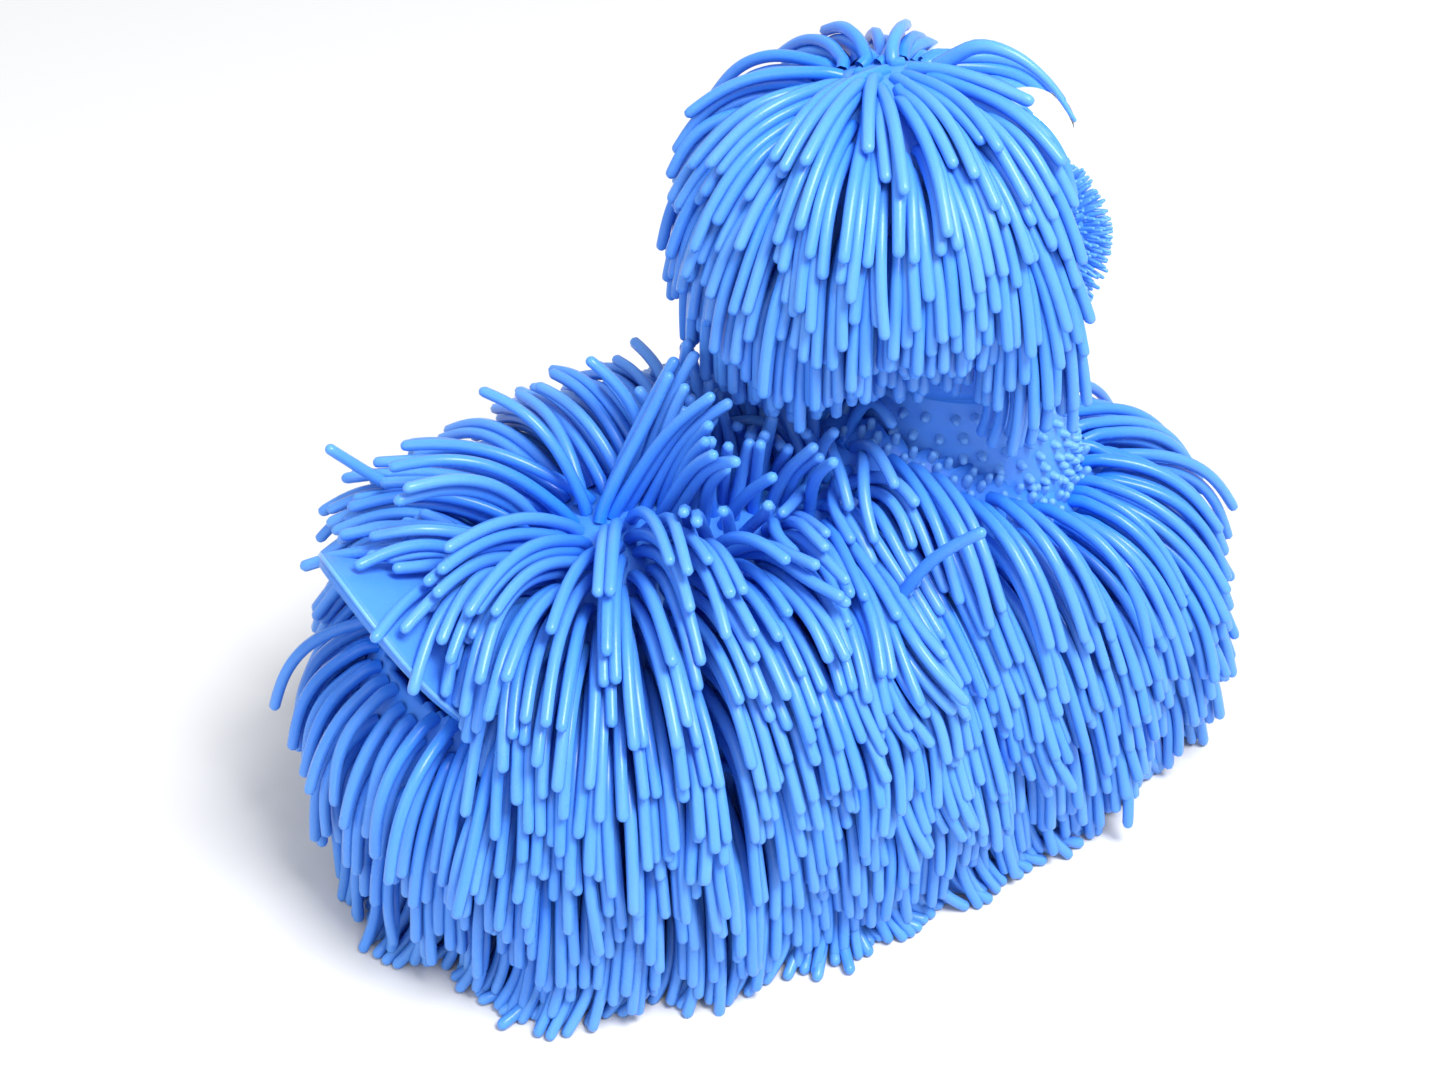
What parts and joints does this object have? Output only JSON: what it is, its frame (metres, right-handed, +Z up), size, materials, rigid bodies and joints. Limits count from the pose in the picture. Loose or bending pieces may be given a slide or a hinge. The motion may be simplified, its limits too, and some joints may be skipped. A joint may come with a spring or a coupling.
{
  "type": "moving mouth hand puppet",
  "caption": "Shaggy rubber hand puppet that lies on its belly: a body and head covered in soft moulded strands, a hand opening at the rear, a flexing neck and a mouth that opens.",
  "frame": {"origin": "on the floor under the middle of the whole puppet", "axes": "+X forward towards the face, +Y the puppet's left, +Z up"},
  "size_m": [0.211, 0.124, 0.174],
  "materials": {
    "rubber_skin": "satin",
    "rubber_strands": "satin",
    "mouth_rubber": "satin",
    "eye_white": "gloss",
    "pupil_black": "gloss"
  },
  "bodies": {
    "body": {"body_skin": "rubber_skin", "hand_cuff": "rubber_skin", "spine_strands": "rubber_strands", "rump_strands_left": "rubber_strands", "rump_strands_right": "rubber_strands", "flank_strands_left": "rubber_strands", "flank_strands_right": "rubber_strands", "chest_strands_left": "rubber_strands", "chest_strands_right": "rubber_strands"},
    "neck": {"neck_skin": "rubber_skin"},
    "neck_collar": {"upper_neck_band": "rubber_skin"},
    "neck_ring": {"upper_neck_ring": "rubber_skin"},
    "head": {"head_skin": "rubber_skin", "muzzle_skin": "rubber_skin", "muzzle_bristles": "rubber_strands", "palate": "mouth_rubber", "mouth_fold": "mouth_rubber", "eye_left": "eye_white", "eye_right": "eye_white", "pupil_left": "pupil_black", "pupil_right": "pupil_black", "head_strands_left": "rubber_strands", "head_strands_right": "rubber_strands", "head_strands_back": "rubber_strands", "forelock_strands": "rubber_strands"},
    "jaw": {"jaw_skin": "rubber_skin", "chin_bristles": "rubber_strands", "mouth_floor": "mouth_rubber"}
  },
  "joints": [
    {"name": "neck_lean", "type": "hinge", "parent": "body", "child": "neck", "pos_m": [0.047, 0, 0.072], "axis": [0, 1, 0], "range_deg": [-5, 10], "stiffness_Nm_per_rad": 3, "deforming": ["neck_skin"]},
    {"name": "head_turn", "type": "hinge", "parent": "neck", "child": "neck_collar", "pos_m": [0.047, 0, 0.086], "axis": [0, 0, 1], "range_deg": [-30, 30], "stiffness_Nm_per_rad": 1.5},
    {"name": "head_tilt", "type": "hinge", "parent": "neck_collar", "child": "neck_ring", "pos_m": [0.047, 0, 0.086], "axis": [1, 0, 0], "range_deg": [-10, 10], "stiffness_Nm_per_rad": 2.5},
    {"name": "head_nod", "type": "hinge", "parent": "neck_ring", "child": "head", "pos_m": [0.047, 0, 0.086], "axis": [0, 1, 0], "range_deg": [-12, 12], "stiffness_Nm_per_rad": 2.5, "deforming": ["neck_skin"]},
    {"name": "jaw_open", "type": "hinge", "parent": "head", "child": "jaw", "pos_m": [0.0515, 0, 0.115], "axis": [0, 1, 0], "range_deg": [0, 20], "stiffness_Nm_per_rad": 0.15, "springref_deg": -5.73}
  ]
}
